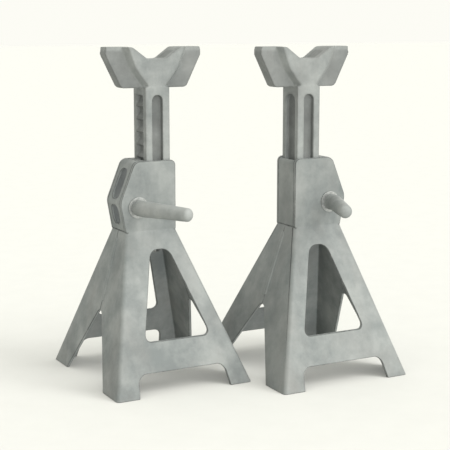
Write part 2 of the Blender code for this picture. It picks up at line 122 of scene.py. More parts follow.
def choose(piece, kind, test):
    """Selects the VERTs, EDGEs or FACEs of a piece whose middle passes the test."""
    if bpy.context.view_layer.objects.active is not piece or bpy.context.mode != "EDIT_MESH":
        select_only(piece)
        bpy.ops.object.mode_set(mode="EDIT")
    bpy.ops.mesh.select_mode(type=kind)
    bpy.ops.mesh.select_all(action="DESELECT")
    shape = bmesh.from_edit_mesh(piece.data)
    for part in {"VERT": shape.verts, "EDGE": shape.edges, "FACE": shape.faces}[kind]:
        corners = [part.co] if kind == "VERT" else [v.co for v in part.verts]
        middle = sum(corners, Vector()) / len(corners)
        if test(middle, part):
            part.select_set(True)
    bmesh.update_edit_mesh(piece.data)


def choose_all(piece):
    choose(piece, "FACE", lambda at, part: True)


def move(x, y, z):
    """Moves what is chosen."""
    bpy.ops.transform.translate(value=(x, y, z))


def extrude(x, y, z):
    """Draws what is chosen out into new sides."""
    bpy.ops.mesh.extrude_region_move(TRANSFORM_OT_translate={"value": (x, y, z)})


def round_corners(piece, test, radius, segments=8, **settings):
    """Chooses edges and gives them a radius. It leaves edit mode."""
    choose(piece, "EDGE", test)
    bpy.ops.mesh.bevel(offset=radius, segments=segments, affect="EDGES", **settings)
    leave_edit_mode()


def runs_along(edge, axis):
    a, b = edge.verts[0].co, edge.verts[1].co
    return abs((b - a).normalized()[axis]) > 0.8


def leave_edit_mode():
    bpy.ops.object.mode_set(mode="OBJECT")


def apply_all(piece):
    select_only(piece)
    for modifier in list(piece.modifiers):
        bpy.ops.object.modifier_apply(modifier=modifier.name)


def combine(piece, other, operation):
    """An exact Boolean, applied. The other shape is used up."""
    step = piece.modifiers.new("combine", "BOOLEAN")
    step.operation = operation
    step.solver = "EXACT"
    step.object = other
    apply_all(piece)
    bpy.data.objects.remove(other)
    return piece


def repeat(piece, count, step):
    """The piece again and again, one step apart."""
    row = piece.modifiers.new("repeat", "ARRAY")
    row.count = count
    row.use_relative_offset = False
    row.use_constant_offset = True
    row.constant_offset_displace = step
    apply_all(piece)


def melt(piece, cell, rounds):
    """One skin of even cells, smoothed a few rounds over."""
    cells = piece.modifiers.new("even cells", "REMESH")
    cells.mode = "VOXEL"
    cells.voxel_size = cell
    piece.modifiers.new("smoothing", "SMOOTH").iterations = rounds
    apply_all(piece)


def triangles(piece):
    piece.data.calc_loop_triangles()
    return len(piece.data.loop_triangles)


# %% [markdown]
# Rounded edges that remember where they are
#
# Real sheet has a small radius where the press sheared it, and paint wears through there first. A Bevel
# modifier makes the radius. It can also give its new faces their own material number, and that number is
# turned into a face attribute called rim, which the paint reads later.

# %% Round the edges of a finished shape


def round_edges(piece, width, segments=3, angle=32):
    piece.data.materials.clear()
    for _ in range(2):
        piece.data.materials.append(None)
    bevel = piece.modifiers.new("rounded edges", "BEVEL")
    bevel.width = width
    bevel.segments = segments
    bevel.limit_method = "ANGLE"
    bevel.angle_limit = math.radians(angle)
    bevel.use_clamp_overlap = False
    bevel.material = 1
    apply_all(piece)
    rim = piece.data.attributes.new("rim", "FLOAT", "FACE")
    rim_area, area = 0, 0
    for polygon in piece.data.polygons:
        on_rim = polygon.material_index == 1
        rim.data[polygon.index].value = float(on_rim)
        polygon.material_index = 0
        rim_area += polygon.area * on_rim
        area += polygon.area
    piece.data.materials.clear()
    print(f"{piece.name}: rounded edges are {rim_area / area:.1%} of its surface")
    return piece


def merge_doubles(piece):
    choose_all(piece)
    bpy.ops.mesh.remove_doubles(threshold=0.00001)
    bpy.ops.mesh.dissolve_limited(angle_limit=math.radians(1))
    leave_edit_mode()


# %% [markdown]
# The pressing
#
# Half of a base is one sheet of 3.5 mm steel: a sloping face with a window in it, two flanges bent back from
# it, and a flat cheek on top. It could be bent up from a flat outline, but it is easier to start from the
# outside of the pyramid, as a box that is drawn in at the top. Two faces are taken away, the corners are
# rounded to the bend radius, and Solidify gives the sheet its thickness.

# %% Sizes of the base
cheek_low, cheek_high = drawn_box("side_plate")
base_low, base_high = drawn_box("front_frame")
SHEET = 0.0035
SHOULDER = cheek_low.z - 0.0003  # where the slope ends and the housing starts
HOUSING_TOP = base_high.z
HALF_X = base_high.x
FRONT_Y = base_low.y
CHEEK_RIGHT = cheek_high.x
cover_low, cover_high = drawn_box("pawl_cover")
BULGE_X = cover_low.x
BULGE_Z = 0.196
CHEEK_LEFT = -0.036
CHEEK_Y = -0.020
BEND_RADIUS = 0.0042
CROSSBAR = (0.023, 0.053)
FOOT_WIDTH = 0.025
WINDOW_LEGS = (0.029, 0.021)  # left and right of the window, along the crossbar
WINDOW_TOP = 0.144
WINDOW_TOP_SIDES = (-0.011, 0.010)
SIDE_ARCH_TOP = 0.076
SIDE_FOOT_DEPTH = 0.040
SIDE_ARCH_FLARE = 0.0066  # its cutter starts below the floor, where it is wider by this much
BELOW_FLOOR = -0.010
print(f"base {2 * HALF_X:.3f} m wide, housing from {SHOULDER:.4f} to {HOUSING_TOP:.3f} m")


def slope(at_floor, at_shoulder, z):
    """Every corner line of the pyramid is straight, so its place at a height is a simple proportion."""
    return at_floor + (at_shoulder - at_floor) * z / SHOULDER


# %% The pyramid shell
SPARE = 0.012  # the shell starts longer at both ends and is then cut level
LEDGE = 0.0008  # the inner top edge is drawn back this far, so that the cheek covers it


def pyramid_shell():
    ends = []
    for z in (-SPARE, SHOULDER + SPARE):
        left = slope(-HALF_X, CHEEK_LEFT, z)
        right = slope(HALF_X, CHEEK_RIGHT, z)
        ends.append((left, right, slope(FRONT_Y, CHEEK_Y, z), z))
    left, right, front, z = ends[0]
    top_left, top_right, top_front, top_z = ends[1]
    shell = start_box("pressing", (left, front, z), (right, -SEAM_GAP, top_z))
    choose(shell, "VERT", lambda at, part: at.z > SHOULDER)
    narrowing = (top_right - top_left) / (right - left)
    deepening = (top_front + SEAM_GAP) / (front + SEAM_GAP)
    pivot = ((left + right) / 2, -SEAM_GAP, top_z)
    bpy.ops.transform.resize(value=(narrowing, deepening, 1), center_override=pivot)
    move((top_left + top_right) / 2 - pivot[0], 0, 0)
    choose(shell, "FACE", lambda at, part: abs(part.normal.z) > 0.9 or part.normal.y > 0.9)
    bpy.ops.mesh.delete(type="FACE")
    round_corners(shell, lambda at, part: runs_along(part, 2) and at.y < CHEEK_Y, BEND_RADIUS)
    wall = shell.modifiers.new("sheet thickness", "SOLIDIFY")
    wall.thickness = SHEET
    wall.offset = -1
    wall.use_even_offset = True
    apply_all(shell)
    for height, way in ((0.0, -1), (SHOULDER, 1)):
        choose_all(shell)
        bpy.ops.mesh.bisect(plane_co=(0, 0, height), plane_no=(0, 0, way), clear_outer=True, use_fill=True)
    choose(
        shell,
        "VERT",
        lambda at, part: abs(at.z - SHOULDER) < 0.0001
        and CHEEK_LEFT + 0.0025 < at.x < CHEEK_RIGHT - 0.0025
        and CHEEK_Y + SHEET < at.y + 0.0002 < CHEEK_Y + SHEET + 0.0015,
    )
    move(0, -LEDGE, 0)
    leave_edit_mode()
    return shell


pressing = pyramid_shell()
print("shell:", triangles(pressing), "triangles")

# %% [markdown]
# Window, foot arch and side arch
#
# The openings are punched. Each punch is a box: its top is drawn in, and the corner edges that run through
# the sheet are rounded with the bevel operator, each to its own radius. The punch then cuts all the way
# through with a Boolean.

# %% Punch the openings
THROUGH = 0.15


def punch(name, axis, bottom, top, z_low, z_high, bottom_radius, top_radius):
    """A punch along X (0) or Y (1). bottom and top are the (low, high) sides across it at each end."""
    across = 1 - axis
    low, high = [0, 0, z_low], [0, 0, z_high]
    low[axis] = -THROUGH
    high[axis] = (THROUGH, CHEEK_Y)[axis]
    low[across], high[across] = bottom
    tool = start_box(name, low, high)
    middle_z = (z_low + z_high) / 2
    choose(tool, "VERT", lambda at, part: at.z > middle_z)
    value, pivot, shift = [1, 1, 1], [0, 0, z_high], [0, 0, 0]
    value[across] = (top[1] - top[0]) / (bottom[1] - bottom[0])
    pivot[across] = (bottom[0] + bottom[1]) / 2
    shift[across] = (top[0] + top[1]) / 2 - pivot[across]
    bpy.ops.transform.resize(value=value, center_override=pivot)
    bpy.ops.transform.translate(value=shift)
    for radius, upper in ((bottom_radius, False), (top_radius, True)):
        if radius:
            round_corners(
                tool,
                lambda at, part: runs_along(part, axis) and (at.z > middle_z) == upper,
                radius,
                10,
                offset_type="WIDTH",
            )
    leave_edit_mode()
    return tool


left_edge = slope(-HALF_X, CHEEK_LEFT, CROSSBAR[1]) + WINDOW_LEGS[0]
right_edge = slope(HALF_X, CHEEK_RIGHT, CROSSBAR[1]) - WINDOW_LEGS[1]
foot_edge = HALF_X - FOOT_WIDTH
arch_edge = foot_edge - 0.005
side_edge = -FRONT_Y - SIDE_FOOT_DEPTH + SIDE_ARCH_FLARE
for tool in (
    punch("window", 1, (left_edge, right_edge), WINDOW_TOP_SIDES, CROSSBAR[1], WINDOW_TOP, 0.010, 0.013),
    punch("arch", 1, (-foot_edge, foot_edge), (-arch_edge, arch_edge), BELOW_FLOOR, CROSSBAR[0], 0, 0.013),
    punch("side_arch", 0, (-side_edge, side_edge), (-0.004, 0.004), BELOW_FLOOR, SIDE_ARCH_TOP, 0, 0.005),
):
    combine(pressing, tool, "DIFFERENCE")
print("punched:", triangles(pressing), "triangles")

# %% [markdown]
# The cheek
#
# The cheek is the flat plate that carries the pawl's shaft. A box gets two level cuts, at the shoulder and
# at the peak of the bulge, and the vertices on its left side are then pushed to the outline.

# %% The cheek and its shaft hole
hinge = next(joint for joint in frame["joints"] if joint["name"] == "left_lever_hinge")
SHAFT = Vector((hinge["pos_m"][0] - STANDS["left"]["x"], 0, hinge["pos_m"][2]))
CHEEK_FOOT = SHOULDER - 0.006
FOOT_NARROWING = 0.75  # the hidden foot of the cheek keeps clear of the rounded corners
TOP_CORNER = 0.006
BULGE_CORNER = 0.004
SHAFT_HOLE = 0.0065


def cheek_plate():
    top = (CHEEK_RIGHT, CHEEK_Y + SHEET, HOUSING_TOP)
    cheek = start_box("cheek", (CHEEK_LEFT, CHEEK_Y, CHEEK_FOOT), top)
    for height in (SHOULDER, BULGE_Z):
        choose_all(cheek)
        bpy.ops.mesh.bisect(plane_co=(0, 0, height), plane_no=(0, 0, 1))
    choose(cheek, "VERT", lambda at, part: at.z < SHOULDER - 0.001)
    pivot = ((CHEEK_LEFT + CHEEK_RIGHT) / 2, CHEEK_Y, CHEEK_FOOT)
    bpy.ops.transform.resize(value=(FOOT_NARROWING, 1, 1), center_override=pivot)
    choose(cheek, "VERT", lambda at, part: at.x < 0 and abs(at.z - BULGE_Z) < 0.001)
    move(BULGE_X - CHEEK_LEFT, 0, 0)
    choose(cheek, "VERT", lambda at, part: at.x < 0 and at.z > HOUSING_TOP - 0.001)
    move(-CHEEK_RIGHT - CHEEK_LEFT, 0, 0)
    choose(cheek, "EDGE", lambda at, part: runs_along(part, 1) and at.z > HOUSING_TOP - 0.001)
    bpy.ops.mesh.bevel(offset=TOP_CORNER, segments=8, affect="EDGES")
    choose(cheek, "EDGE", lambda at, part: runs_along(part, 1) and at.x < CHEEK_LEFT - 0.003)
    bpy.ops.mesh.bevel(offset=BULGE_CORNER, segments=6, affect="EDGES")
    leave_edit_mode()
    return cheek


def shaft_hole(start_y, end_y):
    """The cutter for the hole that the lever's shaft turns in."""
    return start(
        "hole",
        bpy.ops.mesh.primitive_cylinder_add,
        vertices=64,
        radius=SHAFT_HOLE,
        depth=end_y - start_y,
        location=(SHAFT.x, (start_y + end_y) / 2, SHAFT.z),
        rotation=(math.pi / 2, 0, 0),
    )


combine(pressing, cheek_plate(), "UNION")
combine(pressing, shaft_hole(CHEEK_Y - 0.01, CHEEK_Y + 0.01), "DIFFERENCE")
merge_doubles(pressing)
SHOULDER_BEND = 0.007
choose(
    pressing,
    "EDGE",
    lambda at, part: runs_along(part, 0)
    and abs(at.z - SHOULDER) < 0.0005
    and abs(at.y - CHEEK_Y) < 0.0005
    and part.calc_length() > 0.02,
)
bpy.ops.mesh.bevel(offset=SHOULDER_BEND, segments=6, affect="EDGES", clamp_overlap=True)
choose(pressing, "FACE", lambda at, part: part.normal.z > 0.99 and at.z < BULGE_Z)
bpy.ops.mesh.vert_connect_concave()
leave_edit_mode()
round_edges(pressing, 0.0008)
print("pressing:", triangles(pressing), "triangles")

# %% [markdown]
# The cover and the side plate
#
# Two narrow strips close the housing between the cheeks. The one on the pawl's side bulges out round the
# pawl and has two slots, through which the teeth can be seen. A strip is drawn edge on: one edge is extruded
# from corner to corner, the corners are bevelled into bends, and Solidify gives it its thickness.

# %% Strips of bent sheet
STRIP_HALF_Y = cover_high.y
STRIP_THICKNESS = 0.003


def bent_strip(name, path, bends):
    """A strip through (x, z) points. bends gives a radius for each inner point."""
    (x0, z0), (x1, z1) = path[:2]
    flat = {"size": 1, "rotation": (0, math.pi / 2, 0)}
    strip = start(name, bpy.ops.mesh.primitive_plane_add, (z1 - z0, 2 * STRIP_HALF_Y, 1), **flat)
    choose(strip, "VERT", lambda at, part: at.z < 0)
    move(x0, 0, z0 + (z1 - z0) / 2)
    choose(strip, "VERT", lambda at, part: abs(at.z - (z1 - z0) / 2) < 1e-5)
    move(x1, 0, z0 + (z1 - z0) / 2)

    def choose_corner(x, z):
        here = Vector((x, 0, z))
        choose(strip, "EDGE", lambda at, part: runs_along(part, 1) and (at - here).length < 1e-4)

    for (x, z), (next_x, next_z) in zip(path[1:], path[2:]):
        choose_corner(x, z)
        extrude(next_x - x, 0, next_z - z)
    for (x, z), radius in zip(path[1:], bends):
        choose_corner(x, z)
        bpy.ops.mesh.bevel(offset=radius, segments=8, affect="EDGES")
    choose_all(strip)
    bpy.ops.mesh.normals_make_consistent(inside=False)
    leave_edit_mode()
    outward = sum(polygon.normal.x * polygon.area for polygon in strip.data.polygons)
    if outward * x0 < 0:
        strip.data.flip_normals()
    wall = strip.modifiers.new("sheet thickness", "SOLIDIFY")
    wall.thickness = STRIP_THICKNESS
    wall.offset = -1
    wall.use_even_offset = True
    apply_all(strip)
    return strip


CORNER = 0.006
cover = bent_strip(
    "pawl_cover",
    [(CHEEK_LEFT, cheek_low.z), (BULGE_X, BULGE_Z), (-CHEEK_RIGHT, HOUSING_TOP), (-0.017, HOUSING_TOP)],
    (0.0022, 0.0045),
)
SLOTS = ((0.171, 0.192), (0.199, 0.231))
SLOT_HALF_Y = 0.0095
SLOT_RADIUS = 0.007
for slot_low, slot_high in SLOTS:
    tool = start_box("slot", (BULGE_X - 0.01, -SLOT_HALF_Y, slot_low), (SHAFT.x, SLOT_HALF_Y, slot_high))
    round_corners(tool, lambda at, part: runs_along(part, 0), SLOT_RADIUS)
    combine(cover, tool, "DIFFERENCE")
merge_doubles(cover)
round_edges(cover, 0.0007)

side_plate = bent_strip(
    "side_plate",
    [(CHEEK_RIGHT, cheek_low.z), (CHEEK_RIGHT, HOUSING_TOP), (CHEEK_RIGHT - 0.012, HOUSING_TOP)],
    (CORNER,),
)
cut_angle = math.radians(48)
choose_all(side_plate)
bpy.ops.mesh.bisect(
    plane_co=(CHEEK_RIGHT - CORNER, 0, HOUSING_TOP - CORNER),
    plane_no=(-math.sin(cut_angle), 0, math.cos(cut_angle)),
    clear_outer=True,
    use_fill=True,
)
leave_edit_mode()
merge_doubles(side_plate)
round_edges(side_plate, 0.0006)
print("strips:", triangles(cover), "and", triangles(side_plate), "triangles")

# %% [markdown]
# The lever
#
# One turned bar is both the pawl's shaft and the handle. It starts as a filled circle at the far end of the
# shaft. The end face is extruded again and again, moved along, turned in the bend, and sized to the next
# radius, just as a bar would be swept by hand.

# %% Extrude the lever along its shaft, bend and handle
shaft_low, shaft_high = drawn_box("lever")
WASHER_FACE = drawn_box("lever_washer")[0].y
SHAFT_RADIUS = 0.006
ROOT_RADIUS = 0.0088
TIP_RADIUS = 0.0072
HANDLE_RUN = Vector((0.027, -0.064, 0))
BEND_TANGENT = 0.004


def lever_bar():
    end = Vector((SHAFT.x, shaft_high.y, SHAFT.z))
    end_radius = SHAFT_RADIUS - 0.0009
    bar = start(
        "lever",
        bpy.ops.mesh.primitive_circle_add,
        vertices=48,
        radius=end_radius,
        fill_type="NGON",
        location=end,
        rotation=(math.pi / 2, 0, 0),
    )
    bpy.ops.object.mode_set(mode="EDIT")
    bpy.ops.mesh.select_mode(type="FACE")
    bpy.ops.mesh.select_all(action="SELECT")
    state = {"at": end, "radius": end_radius}

    def grow(to, radius):
        extrude(*(to - state["at"]))
        size = radius / state["radius"]
        bpy.ops.transform.resize(value=(size, size, size), center_override=to)
        state.update(at=to, radius=radius)

    neck = WASHER_FACE - 0.0003
    stations = [
        (end.y - 0.0004, SHAFT_RADIUS - 0.0003),
        (end.y - 0.0010, SHAFT_RADIUS),
        (neck, SHAFT_RADIUS),
        (neck - 0.0002, ROOT_RADIUS - 0.0013),
        (neck - 0.0006, ROOT_RADIUS - 0.0005),
        (neck - 0.0014, ROOT_RADIUS),
        (neck - 0.004, ROOT_RADIUS),
    ]
    for y, radius in stations:
        grow(Vector((SHAFT.x, y, SHAFT.z)), radius)
    run = HANDLE_RUN.normalized()
    turn = math.atan2(run.x, -run.y)
    bend_radius = BEND_TANGENT / math.tan(turn / 2)
    pivot = state["at"] + Vector((bend_radius, 0, 0))
    steps = 8
    for step in range(steps):
        extrude(0, 0, 0)
        bpy.ops.transform.rotate(value=-turn / steps, orient_axis="Z", center_override=pivot)
        state["at"] = pivot + Matrix.Rotation(turn / steps, 3, "Z") @ (state["at"] - pivot)
    elbow = Vector((SHAFT.x, neck - 0.008, SHAFT.z))
    length = HANDLE_RUN.length
    cap = TIP_RADIUS * 0.7
    for share in (0.2, 0.4, 0.7):
        grow(elbow + run * length * share, ROOT_RADIUS + (TIP_RADIUS - ROOT_RADIUS) * share)
    for degrees in range(0, 85, 12):
        bulge = math.radians(degrees)
        grow(elbow + run * (length - cap + cap * math.sin(bulge)), TIP_RADIUS * math.cos(bulge))
    bpy.ops.mesh.select_all(action="SELECT")
    bpy.ops.mesh.normals_make_consistent(inside=False)
    leave_edit_mode()
    return bar


lever = lever_bar()
print("lever:", triangles(lever), "triangles, tip at", tuple(round(v, 4) for v in lever.bound_box[0]))
print("drawn tip:", tuple(round(v, 4) for v in shaft_low))

# %% [markdown]
# The column and its saddle
#
# The column is a sand casting in one piece with the saddle: pockets in its faces to save iron, a slot with
# teeth on the pawl's side, and on top a Y-shaped yoke between two thinner wings. Each shape is a box with
# its corner edges rounded and its vertices pushed to the outline. They are joined and cut with Booleans, and
# then the whole is remeshed in small cells and smoothed a little, which gives every inner corner the fillet
# that a casting has and takes the machined look off the outer ones.

# %% Column and pockets
column_low, column_high = drawn_box("ratchet_column")
COLUMN_LEFT = -0.0095
COLUMN_RIGHT = 0.0195
COLUMN_HALF_Y = 0.016
MIDDLE_X = (COLUMN_LEFT + COLUMN_RIGHT) / 2
POCKET = (0.160, 0.310)
POCKET_DEPTH = 0.005
POCKET_BORDER = 0.006
FRONT_POCKET_BORDER = 0.0085
CLEAR = 0.003  # a cutter starts this far outside the metal
SADDLE_FOOT = 0.318


def soft_box(name, low, high, axis, radius):
    """A box whose four edges along one axis are rounded."""
    piece = start_box(name, low, high)
    round_corners(piece, lambda at, part: runs_along(part, axis), radius)
    return piece


column = start_box(
    "ratchet_column",
    (COLUMN_LEFT, -COLUMN_HALF_Y, column_low.z),
    (COLUMN_RIGHT, COLUMN_HALF_Y, SADDLE_FOOT + 0.001),
)
front_half = (COLUMN_RIGHT - COLUMN_LEFT) / 2 - FRONT_POCKET_BORDER
side_half = COLUMN_HALF_Y - POCKET_BORDER
for face in (-1, 1):
    low_y, high_y = sorted((face * (COLUMN_HALF_Y - POCKET_DEPTH), face * (COLUMN_HALF_Y + CLEAR)))
    low = (MIDDLE_X - front_half, low_y, POCKET[0])
    high = (MIDDLE_X + front_half, high_y, POCKET[1])
    combine(column, soft_box("pocket", low, high, 1, front_half * 0.9), "DIFFERENCE")
side_pocket = soft_box(
    "pocket",
    (COLUMN_RIGHT - POCKET_DEPTH, -side_half, POCKET[0]),
    (COLUMN_RIGHT + CLEAR, side_half, POCKET[1]),
    0,
    side_half * 0.9,
)
combine(column, side_pocket, "DIFFERENCE")

# %% [markdown]
# The teeth
#
# The slot for the pawl has a flat floor with eight teeth in it. One tooth is a small box whose outer face is
# drawn up into a ledge that faces down, so that the column's weight drives the pawl into it. The Array
# modifier repeats it at the pitch of the notches.

# %% Slot and teeth
TEETH = 8
TOOTH_PITCH = 0.014
FIRST_TOOTH = 0.200
TOOTH_HEIGHT = 0.0045
TOOTH_RISE = 0.0095
LEDGE_DROP = 0.0016
TIP_RISE = 0.0013
SLOT_HALF = 0.009
slot_cut = start_box(
    "rack_slot",
    (COLUMN_LEFT - CLEAR, -SLOT_HALF, POCKET[0]),
    (COLUMN_LEFT + POCKET_DEPTH, SLOT_HALF, POCKET[1]),
)
combine(column, slot_cut, "DIFFERENCE")
tooth_root = COLUMN_LEFT + POCKET_DEPTH
tooth = start_box(
    "tooth",
    (tooth_root - TOOTH_HEIGHT, -SLOT_HALF - 0.001, FIRST_TOOTH - LEDGE_DROP),
    (tooth_root + 0.002, SLOT_HALF + 0.001, FIRST_TOOTH + TOOTH_RISE),
)
TIP_X = tooth_root - 0.001
choose(tooth, "VERT", lambda at, part: at.x < TIP_X and at.z < FIRST_TOOTH)
move(0, 0, LEDGE_DROP)
choose(tooth, "VERT", lambda at, part: at.x < TIP_X and at.z > FIRST_TOOTH + 0.002)
move(0, 0, TIP_RISE - TOOTH_RISE)
leave_edit_mode()
repeat(tooth, TEETH, (0, 0, TOOTH_PITCH))
combine(column, tooth, "UNION")
print("column with teeth:", triangles(column), "triangles")

# %% [markdown]
# The saddle
#
# The wings are one plate with a notch for the axle in its top edge. A flat disc with one vertex for each
# corner of the outline has its vertices set onto the outline, is extruded across to the thickness of the
# plate, and has its corners rounded. The yoke is made the same way, is cut twice across, and its inner rows
# are moved further out, so that it leans into the wings.

# %% Wings and yoke
SADDLE_TOP = column_high.z
TROUGH_Z = 0.349
TROUGH_HALF = 0.0105
WING_HALF_Y = 0.008


def outline_plate(name, half_outline, half_y, corner_radii):
    """A plate across Y from (half width, z) points, up the side and back along the top to the middle."""
    full = half_outline + [(-x, z) for x, z in reversed(half_outline)]
    disc = {"vertices": len(full), "radius": 0.05, "fill_type": "NGON"}
    plate = start(name, bpy.ops.mesh.primitive_circle_add, **disc)
    for vertex, (x, z) in zip(plate.data.vertices, full):
        vertex.co = (MIDDLE_X + x, -half_y, z)
    bpy.ops.object.mode_set(mode="EDIT")
    bpy.ops.mesh.select_all(action="SELECT")
    extrude(0, 2 * half_y, 0)
    for (x, z), radius in zip(half_outline, corner_radii):
        if radius:
            choose(
                plate,
                "EDGE",
                lambda at, part: runs_along(part, 1)
                and abs(abs(at.x - MIDDLE_X) - x) < 1e-4
                and abs(at.z - z) < 1e-4,
            )
            bpy.ops.mesh.bevel(offset=radius, offset_type="WIDTH", segments=5, affect="EDGES")
    bpy.ops.mesh.select_all(action="SELECT")
    bpy.ops.mesh.normals_make_consistent(inside=False)
    leave_edit_mode()
    return plate


wings = outline_plate(
    "wings",
    [
        (0.0385, SADDLE_FOOT),
        (0.0565, SADDLE_TOP - 0.008),
        (0.0555, SADDLE_TOP),
        (0.0280, SADDLE_TOP),
        (TROUGH_HALF, TROUGH_Z),
    ],
    WING_HALF_Y,
    (0.006, 0.003, 0.001, 0.004, 0.005),
)
YOKE_SIDE = [(0.0075, 0.3120), (0.0085, 0.3185), (0.0245, 0.3390), (0.0330, SADDLE_TOP - 0.0003)]
yoke = outline_plate(
    "yoke",
    YOKE_SIDE + [(0.0280, SADDLE_TOP - 0.0003), (TROUGH_HALF, TROUGH_Z)],
    COLUMN_HALF_Y - 0.0003,
    (0, 0.003, 0.007, 0, 0.004, 0.005),
)
for side_y in (-WING_HALF_Y + 0.001, WING_HALF_Y - 0.001):
    choose_all(yoke)
    bpy.ops.mesh.bisect(plane_co=(0, side_y, 0), plane_no=(0, 1, 0))


def on_yoke_side(point):
    """True on the outer sides of the yoke, and not in its trough."""
    for (low_x, low_z), (high_x, high_z) in zip(YOKE_SIDE, YOKE_SIDE[1:]):
        if low_z - 1e-5 <= point.z <= high_z + 1e-5:
            side = low_x + (high_x - low_x) * (point.z - low_z) / (high_z - low_z)
            return abs(point.x - MIDDLE_X) > side - 0.0026
    return False


YOKE_SPREAD = 0.006
for way in (-1, 1):
    choose(
        yoke,
        "VERT",
        lambda at, part: abs(at.y) < WING_HALF_Y
        and (at.x - MIDDLE_X) * way > 0
        and on_yoke_side(at),
    )
    move(way * YOKE_SPREAD, 0, 0)
leave_edit_mode()
combine(column, wings, "UNION")
combine(column, yoke, "UNION")

# %% Bore for the screw, then cast fillets
SCREW_HOLE = 0.0044
bore = start(
    "bore",
    bpy.ops.mesh.primitive_cylinder_add,
    vertices=32,
    radius=SCREW_HOLE,
    depth=0.042,
    location=(MIDDLE_X, 0, column_low.z),
)
combine(column, bore, "DIFFERENCE")
CAST_CELL = 0.0008
melt(column, CAST_CELL, 4)
print("column:", triangles(column), "triangles")

# %% [markdown]
# Where a casting is painted with shade and where it is rubbed
#
# The pockets, the slot for the teeth and the recessed faces of the wings are painted darker as shade, and
# hands and axles polish what stands proud. Both can be measured on the dense mesh: a vertex in a pocket lies
# below the flat side of the column, and a vertex on an edge stands out from the middle of its neighbours.
# The two values are kept as attributes on the vertices.

# %% Measure recesses and edges


def spread(values, edges, count, times):
    """Averages a value with its neighbours along the edges, a few times over."""
    for _ in range(times):
        total = [0.0] * count
        number = [0] * count
        for a, b in edges:
            total[a] += values[b]
            total[b] += values[a]
            number[a] += 1
            number[b] += 1
        values = [(values[i] + total[i]) / (1 + number[i]) for i in range(count)]
    return values


def mark_casting(piece, in_recess):
    mesh = piece.data
    count = len(mesh.vertices)
    edges = [tuple(edge.vertices) for edge in mesh.edges]
    middle = [Vector() for _ in range(count)]
    number = [0] * count
    for a, b in edges:
        middle[a] += mesh.vertices[b].co
        middle[b] += mesh.vertices[a].co
        number[a] += 1
        number[b] += 1
    proud = []
    for vertex in mesh.vertices:
        offset = vertex.co - middle[vertex.index] / max(number[vertex.index], 1)
        proud.append(max(0.0, offset.dot(vertex.normal)) / CAST_CELL * 8)
    recess_shade = [in_recess(vertex.co) for vertex in mesh.vertices]
    for name, values in (("rim", proud), ("recess_shade", recess_shade)):
        smooth = spread(values, edges, count, 3)
        store = mesh.attributes.new(name, "FLOAT", "POINT")
        store.data.foreach_set("value", [min(1.0, value) for value in smooth])


# The recessed faces of the wings get this share of painted shade, all but a band along their top edge.
WING_SHADE = 0.62
RIM_OF_WING = 0.0035


# How much painted shade a vertex of the casting gets: all in the slot for the teeth, more the deeper it lies
# in a pocket, and a fixed share on the recessed faces of the wings.
def column_recess_shade(point):
    across = abs(point.x - MIDDLE_X)
    if point.z > SADDLE_FOOT and abs(point.y) < WING_HALF_Y + 0.0004:
        below_rim = SADDLE_TOP - point.z - RIM_OF_WING
        return WING_SHADE * min(1.0, max(0.0, below_rim) / 0.0015) * float(across > TROUGH_HALF)
    if not POCKET[0] - 0.002 < point.z < POCKET[1] + 0.002:
        return 0.0
    if point.x < COLUMN_LEFT + 0.002 and abs(point.y) < SLOT_HALF - 0.0005 and point.z < POCKET[1]:
        return 1.0
    depth_x = min(point.x - COLUMN_LEFT, COLUMN_RIGHT - point.x)
    depth_y = COLUMN_HALF_Y - abs(point.y)
    return min(1.0, max(0.0, min(depth_x, depth_y) - 0.0008) / 0.0022)


mark_casting(column, column_recess_shade)
print("recess marked on", sum(v.value > 0.5 for v in column.data.attributes["recess_shade"].data), "vertices")

# %% [markdown]
# Small parts
#
# Washers are punched discs with rounded edges. The screw's head is a six-sided bar with its corners turned
# off. Both start as cylinders. The pawl keeps the shape of the solid model, but its mesh
# is loose triangles, so the copy is merged before its edges are rounded.

# %% Washers, guide blocks, stop plate and screw


def round_bar(name, radius, begin, end, sides=64):
    """A cylinder from one point to another."""
    begin, end = Vector(begin), Vector(end)
    axis = end - begin
    return start(
        name,
        bpy.ops.mesh.primitive_cylinder_add,
        vertices=sides,
        radius=radius,
        depth=axis.length,
        location=(begin + end) / 2,
        rotation=axis.to_track_quat("Z", "Y").to_euler(),
    )


def washer(node):
    low, high = drawn_box(node)
    radius = (high.x - low.x) / 2
    disc = round_bar(node, radius, (SHAFT.x, low.y, SHAFT.z), (SHAFT.x, high.y, SHAFT.z))
    combine(disc, shaft_hole(low.y - 0.005, high.y + 0.005), "DIFFERENCE")
    return round_edges(disc, 0.0003, segments=2)


def block(node, width):
    low, high = drawn_box(node)
    return round_edges(start_box(node, low, high), width)


lever_washer = washer("lever_washer")
end_washer = washer("end_washer")
top_guide = block("top_guide_block", 0.0006)
lower_guide = block("lower_guide_block", 0.0006)

plate_low, plate_high = drawn_box("column_stop_plate")
stop_plate = soft_box("column_stop_plate", plate_low, plate_high, 2, 0.003)
plate_hole = round_bar("hole", SCREW_HOLE, (MIDDLE_X, 0, 0.12), (MIDDLE_X, 0, 0.16))
combine(stop_plate, plate_hole, "DIFFERENCE")
round_edges(stop_plate, 0.0005)

